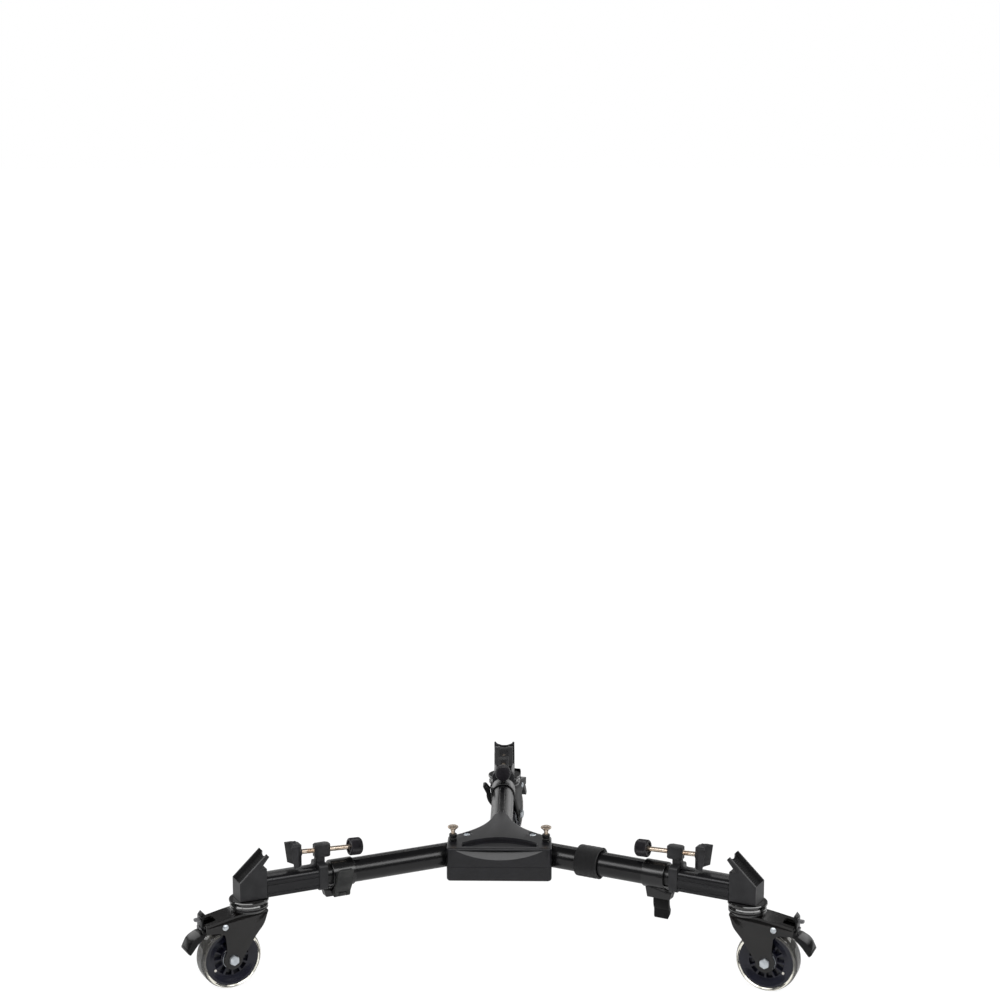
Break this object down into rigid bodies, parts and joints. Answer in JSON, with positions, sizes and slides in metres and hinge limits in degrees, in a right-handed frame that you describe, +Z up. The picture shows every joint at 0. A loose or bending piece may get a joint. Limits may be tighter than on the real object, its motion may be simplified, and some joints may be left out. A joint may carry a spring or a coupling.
{
  "type": "tripod dolly",
  "caption": "Folding dolly that carries a three-legged stand: telescoping arms on a flat hub, foot trays with screw clamps, and braked swivel castors.",
  "frame": {"origin": "middle of the bounding box on the floor, with the dolly open and standing", "axes": "+Z up; +Y along the rear arm, away from the hub's straight front edge; +X to the right seen from the front"},
  "size_m": [0.7576, 0.6502, 0.1625],
  "materials": {
    "moulded_grey": "fine matte grain",
    "gloss_black": "glossy powder coat",
    "satin_black": "satin powder coat",
    "nickel": "polished, slightly warm",
    "silver": "bright zinc",
    "core_black": "moulded, slightly blue",
    "clear_tread": "clear polyurethane",
    "fabric_black": "woven tape"
  },
  "bodies": {
    "hub": {"hub_cover": "moulded_grey", "hub_base": "moulded_grey", "rear_tube_bolt": "silver", "left_arm_pivot": "silver", "right_arm_pivot": "silver", "left_pin_bushing": "satin_black", "right_pin_bushing": "satin_black", "rear_outer_tube": "gloss_black", "rear_lock_collar": "gloss_black"},
    "left_arm": {"left_arm_hinge": "satin_black", "left_outer_tube": "gloss_black", "left_lock_collar": "gloss_black"},
    "left_lock_pin": {"left_lock_pin": "nickel"},
    "right_arm": {"right_arm_hinge": "satin_black", "right_outer_tube": "gloss_black", "right_lock_collar": "gloss_black", "hook_and_loop_strap": "fabric_black"},
    "right_lock_pin": {"right_lock_pin": "nickel"},
    "left_lock_lever": {"left_lock_lever": "satin_black"},
    "left_slide": {"left_inner_tube": "satin_black", "left_clamp_bracket": "moulded_grey", "left_foot_tray": "satin_black", "left_end_block": "moulded_grey", "left_castor_mount": "satin_black"},
    "left_clamp_pad": {"left_clamp_pad": "moulded_grey"},
    "left_clamp_screw": {"left_clamp_screw": "nickel", "left_clamp_knob": "moulded_grey"},
    "left_castor": {"left_castor_fork": "gloss_black", "left_axle_bolt": "silver"},
    "left_wheel": {"left_wheel_core": "core_black", "left_tyre": "clear_tread"},
    "left_brake": {"left_brake_pedal": "moulded_grey"},
    "right_lock_lever": {"right_lock_lever": "satin_black"},
    "right_slide": {"right_inner_tube": "satin_black", "right_clamp_bracket": "moulded_grey", "right_foot_tray": "satin_black", "right_end_block": "moulded_grey", "right_castor_mount": "satin_black"},
    "right_clamp_pad": {"right_clamp_pad": "moulded_grey"},
    "right_clamp_screw": {"right_clamp_screw": "nickel", "right_clamp_knob": "moulded_grey"},
    "right_castor": {"right_castor_fork": "gloss_black", "right_axle_bolt": "silver"},
    "right_wheel": {"right_wheel_core": "core_black", "right_tyre": "clear_tread"},
    "right_brake": {"right_brake_pedal": "moulded_grey"},
    "rear_lock_lever": {"rear_lock_lever": "satin_black"},
    "rear_slide": {"rear_inner_tube": "satin_black", "rear_clamp_bracket": "moulded_grey", "rear_foot_tray": "satin_black", "rear_end_block": "moulded_grey", "rear_castor_mount": "satin_black"},
    "rear_clamp_pad": {"rear_clamp_pad": "moulded_grey"},
    "rear_clamp_screw": {"rear_clamp_screw": "nickel", "rear_clamp_knob": "moulded_grey"},
    "rear_castor": {"rear_castor_fork": "gloss_black", "rear_axle_bolt": "silver"},
    "rear_wheel": {"rear_wheel_core": "core_black", "rear_tyre": "clear_tread"},
    "rear_brake": {"rear_brake_pedal": "moulded_grey"}
  },
  "joints": [
    {"name": "left_arm_fold", "type": "hinge", "parent": "hub", "child": "left_arm", "pos_m": [-0.04419, -0.12153, 0.118], "axis": [0, 0, -1], "range_deg": [0, 117.5]},
    {"name": "left_pin_drop", "type": "slide", "parent": "hub", "child": "left_lock_pin", "axis": [0, 0, -1], "range_m": [0, 0.004]},
    {"name": "right_arm_fold", "type": "hinge", "parent": "hub", "child": "right_arm", "pos_m": [0.04065, -0.12153, 0.118], "axis": [0, 0, 1], "range_deg": [0, 117.5]},
    {"name": "right_pin_drop", "type": "slide", "parent": "hub", "child": "right_lock_pin", "axis": [0, 0, -1], "range_m": [0, 0.004]},
    {"name": "left_lever_flip", "type": "hinge", "parent": "left_arm", "child": "left_lock_lever", "pos_m": [-0.19451, -0.2291, 0.096], "axis": [0.887, 0.4617, 0], "range_deg": [0, 152]},
    {"name": "left_arm_telescope", "type": "slide", "parent": "left_arm", "child": "left_slide", "axis": [-0.887, -0.4617, 0], "range_m": [0, 0.09]},
    {"name": "left_pad_travel", "type": "slide", "parent": "left_slide", "child": "left_clamp_pad", "axis": [-0.8858, -0.4611, 0.0523], "range_m": [-0.01, 0.016]},
    {"name": "left_screw_turn", "type": "hinge", "parent": "left_clamp_pad", "child": "left_clamp_screw", "pos_m": [-0.2182, -0.23015, 0.1502], "axis": [-0.8858, -0.4611, 0.0523], "range_deg": [-1800, 2880]},
    {"name": "left_castor_swivel", "type": "hinge", "parent": "left_slide", "child": "left_castor", "pos_m": [-0.3014, -0.27347, 0.1052], "axis": [0, 0, 1], "continuous": true},
    {"name": "left_wheel_spin", "type": "hinge", "parent": "left_castor", "child": "left_wheel", "pos_m": [-0.32479, -0.28697, 0.0375], "axis": [0.5, -0.866, 0], "continuous": true},
    {"name": "left_brake_press", "type": "hinge", "parent": "left_castor", "child": "left_brake", "pos_m": [-0.33284, -0.29162, 0.0793], "axis": [0.5, -0.866, 0], "range_deg": [0, 14]},
    {"name": "right_lever_flip", "type": "hinge", "parent": "right_arm", "child": "right_lock_lever", "pos_m": [0.20021, -0.21136, 0.096], "axis": [0.887, -0.4617, 0], "range_deg": [0, 152]},
    {"name": "right_arm_telescope", "type": "slide", "parent": "right_arm", "child": "right_slide", "axis": [0.887, -0.4617, 0], "range_m": [0, 0.09]},
    {"name": "right_pad_travel", "type": "slide", "parent": "right_slide", "child": "right_clamp_pad", "axis": [0.8858, -0.4611, 0.0523], "range_m": [-0.01, 0.016]},
    {"name": "right_screw_turn", "type": "hinge", "parent": "right_clamp_pad", "child": "right_clamp_screw", "pos_m": [0.21466, -0.23015, 0.1502], "axis": [0.8858, -0.4611, 0.0523], "range_deg": [-1800, 2880]},
    {"name": "right_castor_swivel", "type": "hinge", "parent": "right_slide", "child": "right_castor", "pos_m": [0.29786, -0.27347, 0.1052], "axis": [0, 0, 1], "continuous": true},
    {"name": "right_wheel_spin", "type": "hinge", "parent": "right_castor", "child": "right_wheel", "pos_m": [0.3229, -0.28358, 0.0375], "axis": [0.3746, 0.9272, 0], "continuous": true},
    {"name": "right_brake_press", "type": "hinge", "parent": "right_castor", "child": "right_brake", "pos_m": [0.33152, -0.28706, 0.0793], "axis": [0.3746, 0.9272, 0], "range_deg": [0, 14]},
    {"name": "rear_lever_flip", "type": "hinge", "parent": "hub", "child": "rear_lock_lever", "pos_m": [-0.01177, 0.11301, 0.096], "axis": [0, -1, 0], "range_deg": [0, 152]},
    {"name": "rear_arm_telescope", "type": "slide", "parent": "hub", "child": "rear_slide", "axis": [0, 1, 0], "range_m": [-0.014, 0.076]},
    {"name": "rear_pad_travel", "type": "slide", "parent": "rear_slide", "child": "rear_clamp_pad", "axis": [0, 0.9986, 0.0523], "range_m": [-0.01, 0.016]},
    {"name": "rear_screw_turn", "type": "hinge", "parent": "rear_clamp_pad", "child": "rear_clamp_screw", "pos_m": [-0.00177, 0.14851, 0.1502], "axis": [0, 0.9986, 0.0523], "range_deg": [-1800, 2880]},
    {"name": "rear_castor_swivel", "type": "hinge", "parent": "rear_slide", "child": "rear_castor", "pos_m": [-0.00177, 0.24231, 0.1052], "axis": [0, 0, 1], "continuous": true},
    {"name": "rear_wheel_spin", "type": "hinge", "parent": "rear_castor", "child": "rear_wheel", "pos_m": [0.00522, 0.26839, 0.0375], "axis": [-0.9659, 0.2588, 0], "continuous": true},
    {"name": "rear_brake_press", "type": "hinge", "parent": "rear_castor", "child": "rear_brake", "pos_m": [0.00762, 0.27738, 0.0793], "axis": [-0.9659, 0.2588, 0], "range_deg": [0, 14]}
  ],
  "couplings": [
    {"joint": "left_screw_turn", "follows": "left_pad_travel", "rad_per_m": 3141.6},
    {"joint": "right_screw_turn", "follows": "right_pad_travel", "rad_per_m": 3141.6},
    {"joint": "rear_screw_turn", "follows": "rear_pad_travel", "rad_per_m": 3141.6}
  ]
}
